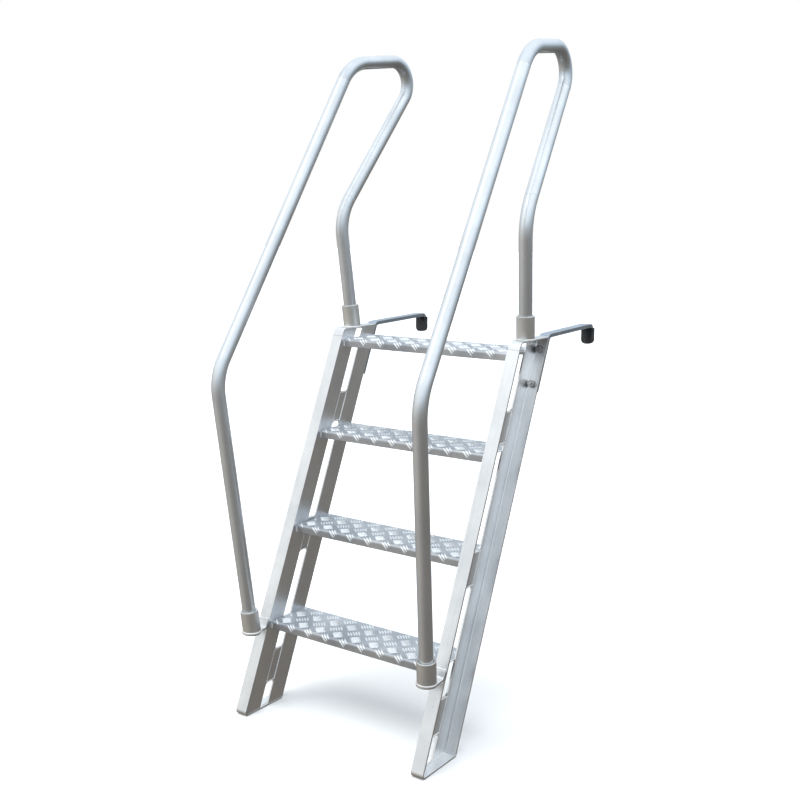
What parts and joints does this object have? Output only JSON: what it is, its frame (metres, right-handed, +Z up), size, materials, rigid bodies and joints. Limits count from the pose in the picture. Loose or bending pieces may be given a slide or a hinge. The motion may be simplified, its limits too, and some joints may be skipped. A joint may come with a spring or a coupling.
{
  "type": "boat boarding ladder",
  "caption": "Leaning aluminium boarding ladder with checker-plate treads, channel side rails, hooks that drop over a deck edge and lift-off looped handrails.",
  "frame": {"origin": "centre of the footprint on the ground, midway between the side rails and midway front to back over the whole ladder with its handrails and hooks", "axes": "+X to the right as one climbs, +Y forward from the climber towards the boat, +Z up"},
  "size_m": [0.6682, 0.9116, 1.7996],
  "materials": {
    "rail_aluminium": "mill finish with polished flanges",
    "tread_plate": "mill finish five-bar checker plate",
    "tube": "satin drawn tube",
    "socket": "satin",
    "hook_bar": "mill finish flat bar",
    "rubber": "matte moulded sleeve",
    "fastener_steel": "plain stainless"
  },
  "bodies": {
    "ladder": {"rail_front_angle_right": "rail_aluminium", "rail_rear_angle_right": "rail_aluminium", "rail_spacer_right_1": "rail_aluminium", "rail_spacer_right_2": "rail_aluminium", "rail_spacer_right_3": "rail_aluminium", "top_cap_right": "rail_aluminium", "foot_plate_right": "rail_aluminium", "rail_front_angle_left": "rail_aluminium", "rail_rear_angle_left": "rail_aluminium", "rail_spacer_left_1": "rail_aluminium", "rail_spacer_left_2": "rail_aluminium", "rail_spacer_left_3": "rail_aluminium", "top_cap_left": "rail_aluminium", "foot_plate_left": "rail_aluminium", "socket_bracket_right": "rail_aluminium", "socket_bracket_left": "rail_aluminium", "tread_1": "tread_plate", "tread_2": "tread_plate", "tread_3": "tread_plate", "tread_4": "tread_plate", "lower_socket_right": "socket", "upper_socket_right": "socket", "lower_socket_left": "socket", "upper_socket_left": "socket", "hook_bar_right": "hook_bar", "hook_bar_left": "hook_bar", "hook_sleeve_right": "rubber", "hook_sleeve_left": "rubber", "hook_bolt_right_1": "fastener_steel", "hook_bolt_right_2": "fastener_steel", "hook_washer_right_1": "fastener_steel", "hook_washer_right_2": "fastener_steel", "hook_nut_right_1": "fastener_steel", "hook_nut_right_2": "fastener_steel", "hook_bolt_left_1": "fastener_steel", "hook_bolt_left_2": "fastener_steel", "hook_washer_left_1": "fastener_steel", "hook_washer_left_2": "fastener_steel", "hook_nut_left_1": "fastener_steel", "hook_nut_left_2": "fastener_steel"},
    "handrail_right": {"handrail_front_tube_right": "tube", "handrail_bow_right": "tube", "handrail_rear_run_right": "tube", "handrail_rear_post_right": "tube"},
    "handrail_left": {"handrail_front_tube_left": "tube", "handrail_bow_left": "tube", "handrail_rear_run_left": "tube", "handrail_rear_post_left": "tube"}
  },
  "joints": [
    {"name": "handrail_right_lift", "type": "slide", "parent": "ladder", "child": "handrail_right", "axis": [0.0419, -0.1114, 0.9929], "range_m": [0, 0.1]},
    {"name": "handrail_left_lift", "type": "slide", "parent": "ladder", "child": "handrail_left", "axis": [-0.0419, -0.1114, 0.9929], "range_m": [0, 0.1]}
  ]
}
